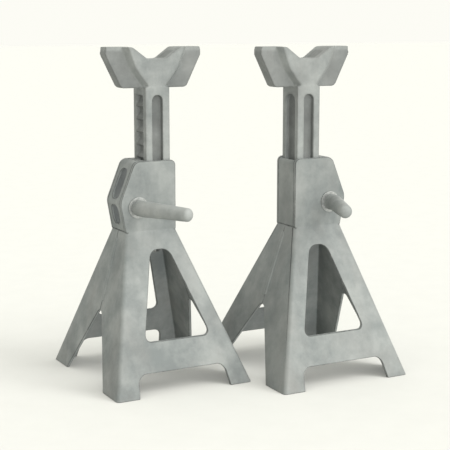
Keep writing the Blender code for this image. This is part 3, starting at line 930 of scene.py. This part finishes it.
screw_low, screw_high = drawn_box("stop_plate_screw")
HEAD_RADIUS = 0.0075
HEAD_HEIGHT = 0.0053
CHAMFER = (0.0016, 0.0006)  # width and height of the turned corners
head_foot = Vector((MIDDLE_X, 0, screw_low.z))
head_top = head_foot + Vector((0, 0, HEAD_HEIGHT))
screw = round_bar("stop_plate_screw", HEAD_RADIUS, head_foot, head_top, sides=6)
choose(screw, "FACE", lambda at, part: part.normal.z < -0.9)
bpy.ops.mesh.inset(thickness=CHAMFER[0])
inside = HEAD_RADIUS - CHAMFER[0] / 2
choose(screw, "VERT", lambda at, part: at.z < head_top.z - 0.001 and (at.xy - head_foot.xy).length > inside)
move(0, 0, CHAMFER[1])
leave_edit_mode()
shank = round_bar("shank", 0.004, (MIDDLE_X, 0, head_foot.z + 0.004), (MIDDLE_X, 0, screw_high.z), 32)
combine(screw, shank, "UNION")
round_edges(screw, 0.0003, segments=2)
small_parts = (lever_washer, end_washer, top_guide, lower_guide, stop_plate, screw)
print("small parts:", [triangles(piece) for piece in small_parts])

# %% Pawl, roll pin and split pin


def softened_copy(node, width):
    """A copy of the left-hand solid, moved into the drawing, merged, and with rounded edges."""
    source = frame["nodes"][f"left_{node}"]
    piece = bpy.data.objects.new(node, source.data.copy())
    bpy.context.collection.objects.link(piece)
    piece.data.transform(Matrix.Translation((-STANDS["left"]["x"], -STANDS["left"]["y"], 0)))
    merge_doubles(piece)
    return round_edges(piece, width, segments=2)


pawl = softened_copy("pawl", 0.00025)
roll_pin = softened_copy("pawl_roll_pin", 0.0003)

PIN_RADIUS = 0.0014
PIN_Y = 0.0245
split_pin = start(
    "split_pin",
    bpy.ops.mesh.primitive_torus_add,
    location=(SHAFT.x, PIN_Y, SHAFT.z + 0.0105),
    rotation=(math.pi / 2, 0, 0),
    major_radius=0.0026,
    minor_radius=0.0011,
    major_segments=32,
    minor_segments=16,
)
pin_top = Vector((SHAFT.x, PIN_Y, SHAFT.z + 0.009))
pin_foot = pin_top - Vector((0, 0, 0.020))
combine(split_pin, round_bar("shank", PIN_RADIUS, pin_top, pin_foot, 32), "UNION")
for way in (-1, 1):
    leg_start = Vector((SHAFT.x, PIN_Y, SHAFT.z - 0.0095))
    leg_end = leg_start + Vector((way * 0.8, 0, -0.6)) * 0.0068
    combine(split_pin, round_bar("leg", 0.0009, leg_start, leg_end, 16), "UNION")
round_edges(split_pin, 0.00015, segments=2, angle=50)
print("pawl and pins:", [triangles(piece) for piece in (pawl, roll_pin, split_pin)])

# %% [markdown]
# Weld beads
#
# The two pressings of a base are welded to each other along the middle of both sides. A bead of weld is a
# row of small frozen pools, each lying on the edge of the last. One pool is a flattened sphere. It is
# repeated up the seam by the Array modifier and the row is melted into one skin by a fine remesh.

# %% Lay a bead up each side seam
BEAD_PITCH = 0.0022
BEAD_HALF_WIDTH = 0.0031
BEAD_HALF_HEIGHT = 0.0013
BEAD_CELL = 0.0004
WELD_FROM = 0.088
WELD_TO = SHOULDER - 0.006


def weld_bead(name, at_floor, at_shoulder):
    begin = Vector((slope(at_floor, at_shoulder, WELD_FROM), 0, WELD_FROM))
    end = Vector((slope(at_floor, at_shoulder, WELD_TO), 0, WELD_TO))
    along = (end - begin).normalized()
    pool = start(
        name,
        bpy.ops.mesh.primitive_uv_sphere_add,
        (BEAD_HALF_HEIGHT, BEAD_HALF_WIDTH, BEAD_PITCH),
        segments=16,
        ring_count=8,
        radius=1,
        location=begin,
        rotation=(0, math.atan2(along.x, along.z), 0),
    )
    repeat(pool, int((end - begin).length / BEAD_PITCH), along * BEAD_PITCH)
    melt(pool, BEAD_CELL, 2)
    return pool


pawl_side_weld = weld_bead("pawl_side_weld", -HALF_X, CHEEK_LEFT)
plate_side_weld = weld_bead("plate_side_weld", HALF_X, CHEEK_RIGHT)
print("weld beads:", triangles(pawl_side_weld), "triangles each")

# %% [markdown]
# Copies for both stands
#
# Everything has been made once. Each piece is now duplicated with its own mesh, turned round for the back
# pressing, mirrored for the right-hand stand, and moved to its place. Mirroring turns a mesh inside out, so
# its normals are recalculated. It then rides on its body and takes the place of its solid.

# %% Duplicate, mirror and place
finished = {}


def settle(master, node, body, slot, flip_y=False, shown_as=None, angle=40):
    """One copy of the master for each stand. flip_y turns the front of a base into its back."""
    for side, stand in STANDS.items():
        select_only(master)
        bpy.ops.object.duplicate()
        piece = bpy.context.object
        piece.name = f"{side}_{shown_as or 'finished_' + node}"
        piece.scale = (stand["mirror"], -1 if flip_y else 1, 1)
        piece.location = (stand["x"], stand["y"], 0)
        bpy.ops.object.transform_apply(location=True, rotation=True, scale=True)
        bpy.ops.object.mode_set(mode="EDIT")
        bpy.ops.mesh.select_all(action="SELECT")
        bpy.ops.mesh.normals_make_consistent(inside=False)
        leave_edit_mode()
        bpy.ops.object.shade_smooth_by_angle(angle=math.radians(angle))
        even = piece.modifiers.new("flat faces stay flat", "WEIGHTED_NORMAL")
        even.keep_sharp = True
        apply_all(piece)
        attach(piece, f"{side}_{body}")
        if node:
            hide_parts(f"{side}_{node}")
        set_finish(piece, slot)
        finished[piece.name] = piece


MASTERS = (
    (pressing, "front_frame", "base", "frame_paint", {}),
    (pressing, "back_frame", "base", "frame_paint", {"flip_y": True}),
    (cover, "pawl_cover", "base", "frame_paint", {}),
    (side_plate, "side_plate", "base", "frame_paint", {}),
    (top_guide, "top_guide_block", "base", "frame_paint", {}),
    (lower_guide, "lower_guide_block", "base", "frame_paint", {}),
    (pawl_side_weld, None, "base", "frame_paint", {"shown_as": "pawl_side_weld"}),
    (plate_side_weld, None, "base", "frame_paint", {"shown_as": "plate_side_weld"}),
    (column, "ratchet_column", "column", "casting_paint", {"angle": 60}),
    (stop_plate, "column_stop_plate", "column", "zinc_plate", {}),
    (screw, "stop_plate_screw", "column", "zinc_plate", {}),
    (lever, "lever", "lever", "casting_paint", {}),
    (pawl, "pawl", "lever", "oiled_steel", {}),
    (roll_pin, "pawl_roll_pin", "lever", "zinc_plate", {}),
    (lever_washer, "lever_washer", "lever", "zinc_plate", {}),
    (end_washer, "end_washer", "lever", "zinc_plate", {}),
    (split_pin, "split_pin", "lever", "zinc_plate", {}),
)
for master, node, body, slot, more in MASTERS:
    settle(master, node, body, slot, **more)
for master in dict.fromkeys(row[0] for row in MASTERS):
    bpy.data.objects.remove(master)
print(len(finished), "pieces,", sum(triangles(piece) for piece in finished.values()), "triangles in all")

# %% [markdown]
# Shader groups
#
# Enamel on a workshop tool is never one grey. The sprayed coat is thicker in some places than others, and it
# is rubbed where the tool is handled. The hollows of the casting are painted darker as shade, and the base
# is painted a darker tone towards the floor. Each of these effects is a node group, so that the pressings,
# the castings and the lever share them with values of their own. A group gives out only colours, masks and
# heights. The shader itself stays in each material.

# %% A short way to add and join nodes


def add_node(tree, kind, values=None, **settings):
    """Adds a node. values sets its inputs by name or number: a socket is joined, the rest are values."""
    made = tree.nodes.new(kind)
    for name, value in settings.items():
        setattr(made, name, value)
    for key, value in (values or {}).items():
        socket = made.inputs[key]
        if isinstance(value, bpy.types.NodeSocket):
            tree.links.new(value, socket)
        else:
            socket.default_value = value
    return made


def start_group(name, inputs, outputs):
    """An empty node group. inputs and outputs are (name, kind, value) and (name, kind)."""
    group = bpy.data.node_groups.new(name, "ShaderNodeTree")
    for label, kind, value in inputs:
        socket = group.interface.new_socket(label, in_out="INPUT", socket_type=f"NodeSocket{kind}")
        socket.default_value = value
    for label, kind in outputs:
        group.interface.new_socket(label, in_out="OUTPUT", socket_type=f"NodeSocket{kind}")
    return group, group.nodes.new("NodeGroupInput").outputs, group.nodes.new("NodeGroupOutput").inputs


def noise(tree, scale, detail=4.0, roughness=0.55, vector=None):
    place = vector or add_node(tree, "ShaderNodeTexCoord").outputs["Object"]
    values = {"Vector": place, "Scale": scale, "Detail": detail, "Roughness": roughness}
    return add_node(tree, "ShaderNodeTexNoise", values).outputs["Fac"]


def remap(tree, value, from_low, from_high, to_low=0.0, to_high=1.0):
    values = {"Value": value, "From Min": from_low, "From Max": from_high}
    values.update({"To Min": to_low, "To Max": to_high})
    return add_node(tree, "ShaderNodeMapRange", values).outputs["Result"]


def maths(tree, operation, *values):
    return add_node(tree, "ShaderNodeMath", dict(enumerate(values)), operation=operation).outputs[0]


def mix_colours(tree, share, first, second):
    return add_node(tree, "ShaderNodeMix", {0: share, 6: first, 7: second}, data_type="RGBA").outputs[2]


# %% Cloudy coat: the slow changes of tone in a sprayed and aged enamel
cloudy_coat, given, gives = start_group(
    "cloudy_coat",
    [
        ("Light", "Color", (0.5, 0.5, 0.5, 1)),
        ("Dark", "Color", (0.3, 0.3, 0.3, 1)),
        ("Tint", "Color", (0.4, 0.4, 0.4, 1)),
        ("Cloud size", "Float", 26.0),
        ("Grain size", "Float", 900.0),
        ("Grain", "Float", 0.5),
    ],
    [("Color", "Color"), ("Roughness", "Float"), ("Height", "Float")],
)
place = add_node(cloudy_coat, "ShaderNodeTexCoord").outputs["Object"]
stretch = {"Vector": place, "Scale": (1.0, 1.0, 0.3)}
runs = add_node(cloudy_coat, "ShaderNodeMapping", stretch).outputs["Vector"]
clouds = noise(cloudy_coat, given["Cloud size"], 5.0, 0.62, place)
wash = noise(cloudy_coat, 9.0, 2.0, 0.5, place)
streaks = noise(cloudy_coat, 95.0, 3.0, 0.6, runs)
specks = noise(cloudy_coat, 420.0, 2.0, 0.5, place)
tone = 0.0
for pattern, share in ((clouds, 0.55), (wash, 0.25), (streaks, 0.14), (specks, 0.06)):
    tone = maths(cloudy_coat, "MULTIPLY_ADD", pattern, share, tone)
tone = remap(cloudy_coat, tone, 0.40, 0.60)
base_tone = mix_colours(cloudy_coat, tone, given["Dark"], given["Light"])
warmth = remap(cloudy_coat, noise(cloudy_coat, 31.0, 3.0, 0.6, runs), 0.45, 0.7, 0.0, 0.35)
cloudy_coat.links.new(mix_colours(cloudy_coat, warmth, base_tone, given["Tint"]), gives["Color"])
cloudy_coat.links.new(remap(cloudy_coat, tone, 0.0, 1.0, 0.62, 0.46), gives["Roughness"])
grain = noise(cloudy_coat, given["Grain size"], 3.0, 0.6, place)
dents = remap(cloudy_coat, noise(cloudy_coat, 55.0, 2.0, 0.5, place), 0.3, 0.7)
cloudy_coat.links.new(maths(cloudy_coat, "MULTIPLY_ADD", grain, given["Grain"], dents), gives["Height"])
print("cloudy_coat:", len(cloudy_coat.nodes), "nodes")

# %% Rubbed edges: thin dark paint on every edge, and chips down to bright steel
rubbed_edges, given, gives = start_group(
    "rubbed_edges",
    [
        ("Color", "Color", (0.4, 0.4, 0.4, 1)),
        ("Thin paint", "Color", (0.12, 0.125, 0.12, 1)),
        ("Bare steel", "Color", (0.45, 0.44, 0.42, 1)),
        ("Amount", "Float", 0.8),
        ("Chips", "Float", 0.3),
    ],
    [("Color", "Color"), ("Chip mask", "Float")],
)
rim = add_node(rubbed_edges, "ShaderNodeAttribute", attribute_name="rim").outputs["Fac"]
uneven = remap(rubbed_edges, noise(rubbed_edges, 70.0, 4.0, 0.65), 0.32, 0.62, 0.25, 1.0)
edge_mask = maths(rubbed_edges, "MULTIPLY", maths(rubbed_edges, "MULTIPLY", rim, uneven), given["Amount"])
flakes = remap(rubbed_edges, noise(rubbed_edges, 230.0, 3.0, 0.6), 0.60, 0.66)
chip_mask = maths(rubbed_edges, "MULTIPLY", maths(rubbed_edges, "MULTIPLY", rim, flakes), given["Chips"])
thin = mix_colours(rubbed_edges, edge_mask, given["Color"], given["Thin paint"])
rubbed_edges.links.new(mix_colours(rubbed_edges, chip_mask, thin, given["Bare steel"]), gives["Color"])
rubbed_edges.links.new(chip_mask, gives["Chip mask"])
print("rubbed_edges:", len(rubbed_edges.nodes), "nodes")

# %% Painted shade in the hollows of a casting, and a darker tone near the floor
painted_shade_and_low_darkening, given, gives = start_group(
    "painted_shade_and_low_darkening",
    [
        ("Color", "Color", (0.4, 0.4, 0.4, 1)),
        ("Darker colour", "Color", (0.08, 0.075, 0.07, 1)),
        ("In recesses", "Float", 0.8),
        ("Near the floor", "Float", 0.3),
    ],
    [("Color", "Color"), ("Mask", "Float")],
)
place = add_node(painted_shade_and_low_darkening, "ShaderNodeTexCoord").outputs["Object"]
level = add_node(painted_shade_and_low_darkening, "ShaderNodeSeparateXYZ", {"Vector": place}).outputs["Z"]
recess_shade = add_node(painted_shade_and_low_darkening, "ShaderNodeAttribute", attribute_name="recess_shade").outputs["Fac"]
blotches = noise(painted_shade_and_low_darkening, 48.0, 4.0, 0.6, place)
# Painted shade in the hollows of the casting, broken up by the blotches.
pocket_shade = maths(painted_shade_and_low_darkening, "MULTIPLY", remap(painted_shade_and_low_darkening, blotches, 0.25, 0.6, 0.55, 1.0), recess_shade)
pocket_shade = maths(painted_shade_and_low_darkening, "MULTIPLY", pocket_shade, given["In recesses"])
# A darker tone low down, towards the floor.
low_down = remap(painted_shade_and_low_darkening, level, 0.035, 0.0)
floor_darkening = maths(painted_shade_and_low_darkening, "MULTIPLY", low_down, remap(painted_shade_and_low_darkening, blotches, 0.35, 0.65))
floor_darkening = maths(painted_shade_and_low_darkening, "MULTIPLY", floor_darkening, given["Near the floor"])
darkening_mask = maths(painted_shade_and_low_darkening, "MAXIMUM", pocket_shade, floor_darkening)
painted_shade_and_low_darkening.links.new(mix_colours(painted_shade_and_low_darkening, darkening_mask, given["Color"], given["Darker colour"]), gives["Color"])
painted_shade_and_low_darkening.links.new(darkening_mask, gives["Mask"])
print("painted_shade_and_low_darkening:", len(painted_shade_and_low_darkening.nodes), "nodes")

# %% [markdown]
# The finishes
#
# Grey enamel on the sheet is smooth with a fine orange peel. The same enamel on the casting shows the sand
# through it. Zinc plate is a thin bright metal with a cloudy spangle, and the pawl is bare steel in oil.

# %% Enamel for pressings, castings and lever


def new_material(name):
    """A material with its node tree and its shader's inputs."""
    made = bpy.data.materials.new(name)
    made.use_nodes = True
    return made, made.node_tree, made.node_tree.nodes["Principled BSDF"].inputs


def group_node(tree, group, values):
    return add_node(tree, "ShaderNodeGroup", values, node_tree=group).outputs


def relief(tree, strength, distance, height):
    values = {"Strength": strength, "Distance": distance, "Height": height}
    return add_node(tree, "ShaderNodeBump", values).outputs["Normal"]


def enamel(name, coat_values, edge_values, darkening_values, bump, bump_distance):
    made, tree, shader = new_material(name)
    coat = group_node(tree, cloudy_coat, coat_values)
    edges = group_node(tree, rubbed_edges, {"Color": coat["Color"], **edge_values})
    darkening = group_node(tree, painted_shade_and_low_darkening, {"Color": edges["Color"], **darkening_values})
    tree.links.new(darkening["Color"], shader["Base Color"])
    tree.links.new(edges["Chip mask"], shader["Metallic"])
    tree.links.new(maths(tree, "MULTIPLY_ADD", darkening["Mask"], 0.22, coat["Roughness"]), shader["Roughness"])
    tree.links.new(relief(tree, bump, bump_distance, coat["Height"]), shader["Normal"])
    shader["Specular IOR Level"].default_value = 0.35


ENAMELS = {
    "grey_enamel_on_sheet": (
        ((0.240, 0.255, 0.246, 1), (0.147, 0.163, 0.161, 1), (0.197, 0.197, 0.187, 1)),
        {"Cloud size": 30.0, "Grain size": 850.0, "Grain": 0.10},
        {"Amount": 1.0, "Chips": 0.2, "Thin paint": (0.075, 0.082, 0.080, 1)},
        {"In recesses": 0.0, "Near the floor": 0.35},
        (0.35, 0.0008),
    ),
    "grey_enamel_on_casting": (
        ((0.262, 0.276, 0.267, 1), (0.163, 0.177, 0.174, 1), (0.208, 0.208, 0.198, 1)),
        {"Cloud size": 34.0, "Grain size": 1100.0, "Grain": 0.45},
        {"Amount": 0.75, "Chips": 0.15},
        # The casting's darker colour is painted shade, for its pockets, its slot and its wing faces.
        {"In recesses": 0.78, "Near the floor": 0.0, "Darker colour": (0.092, 0.096, 0.093, 1)},
        (0.5, 0.0008),
    ),
    "grey_enamel_on_bar": (
        ((0.275, 0.289, 0.280, 1), (0.186, 0.200, 0.195, 1), (0.228, 0.228, 0.216, 1)),
        {"Cloud size": 40.0, "Grain size": 950.0, "Grain": 0.12},
        {"Amount": 0.3, "Chips": 0.2},
        {"In recesses": 0.0, "Near the floor": 0.0},
        (0.35, 0.0006),
    ),
}
for name, (greys, sizes, wear, darkening_settings, bump) in ENAMELS.items():
    enamel(name, {**dict(zip(("Light", "Dark", "Tint"), greys)), **sizes}, wear, darkening_settings, *bump)
print("enamels:", sorted(ENAMELS))

# %% Bare and plated steel


def bright_steel(name, light, dark, spangle_size, rough_low, rough_high):
    made, tree, shader = new_material(name)
    place = add_node(tree, "ShaderNodeTexCoord").outputs["Object"]
    spangle = remap(tree, noise(tree, spangle_size, 3.0, 0.6, place), 0.35, 0.65)
    haze = remap(tree, noise(tree, 60.0, 3.0, 0.6, place), 0.35, 0.7)
    tone = mix_colours(tree, spangle, dark, light)
    # Rounded edges are painted lighter, as a painted highlight.
    rim = add_node(tree, "ShaderNodeAttribute", attribute_name="rim").outputs["Fac"]
    edge_highlight_share = maths(tree, "MULTIPLY", rim, 0.35)
    tone = mix_colours(tree, edge_highlight_share, tone, (0.50, 0.50, 0.48, 1))
    tree.links.new(tone, shader["Base Color"])
    tree.links.new(remap(tree, haze, 0.0, 1.0, rough_low, rough_high), shader["Roughness"])
    tree.links.new(relief(tree, 0.25, 0.0002, noise(tree, 1400.0, 2.0, 0.5, place)), shader["Normal"])
    shader["Metallic"].default_value = 0.9
    return made


zinc = bright_steel("zinc_plated_steel", (0.38, 0.39, 0.38, 1), (0.26, 0.27, 0.26, 1), 300.0, 0.32, 0.5)
oiled = bright_steel("oiled_dark_steel", (0.20, 0.20, 0.195, 1), (0.11, 0.11, 0.11, 1), 150.0, 0.28, 0.5)
FINISHES = {
    "frame_paint": bpy.data.materials["grey_enamel_on_sheet"],
    "casting_paint": bpy.data.materials["grey_enamel_on_casting"],
    "zinc_plate": zinc,
    "oiled_steel": oiled,
}
for piece in finished.values():
    piece.data.materials.clear()
    piece.data.materials.append(FINISHES[piece["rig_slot"]])
    if "lever" in piece.name and piece["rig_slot"] == "casting_paint":
        piece.data.materials[0] = bpy.data.materials["grey_enamel_on_bar"]
print("finishes on", len(finished), "pieces")

# %% [markdown]
# Floor, light and camera
#
# A plain cream floor runs on into a background of the same tone. Most of the light is soft and comes from
# all round. A broad key lamp to the right and above drops soft shadows to the left, and two lamps that cast
# no shadow lift the front faces and the floor.

# %% Floor
floor = start("studio_floor", bpy.ops.mesh.primitive_plane_add, size=40)
floor_paint, tree, shader = new_material("cream_floor")
patches = remap(tree, noise(tree, 30.0, 4.0, 0.6), 0.3, 0.7)
cream = mix_colours(tree, patches, (0.605, 0.608, 0.585, 1), (0.619, 0.622, 0.599, 1))
tree.links.new(cream, shader["Base Color"])
shader["Roughness"].default_value = 0.95
shader["Specular IOR Level"].default_value = 0.0
floor.data.materials.append(floor_paint)

# %% Light
world = bpy.data.worlds.new("soft_studio")
bpy.context.scene.world = world
world.use_nodes = True
sky = world.node_tree.nodes["Background"]
sky.inputs["Color"].default_value = (1.0, 0.993, 0.930, 1)
sky.inputs["Strength"].default_value = 0.98


def soft_sun(name, direction_from, strength, softness, colour):
    """A far-off lamp. Softness is the angle that it fills, in degrees."""
    data = bpy.data.lights.new(name, "SUN")
    data.energy = strength
    data.angle = math.radians(softness)
    data.color = colour
    made = bpy.data.objects.new(name, data)
    made.rotation_euler = Vector(direction_from).to_track_quat("Z", "Y").to_euler()
    made.location = direction_from
    bpy.context.collection.objects.link(made)
    return made


soft_sun("key_light", (0.85, -0.80, 1.05), 1.60, 34, (1.0, 0.99, 0.965))
fill = soft_sun("fill_light", (0.25, -1.0, 0.20), 1.95, 60, (1.0, 1.0, 0.99))
overhead = soft_sun("overhead_light", (-0.1, -0.15, 1.0), 0.55, 60, (1.0, 1.0, 0.985))
for shadowless in (fill, overhead):
    shadowless.data.use_shadow = False
bpy.context.scene.view_settings.view_transform = "Standard"

# %% Camera
view = bpy.data.cameras.new("studio_camera")
view.lens = 93.8
view.sensor_width = 36
camera = bpy.data.objects.new("studio_camera", view)
camera.location = (-0.6103, -1.1412, 0.3851)
camera.rotation_euler = (math.radians(90 - 9.69), 0, math.radians(-28.03))
bpy.context.collection.objects.link(camera)
bpy.context.scene.camera = camera
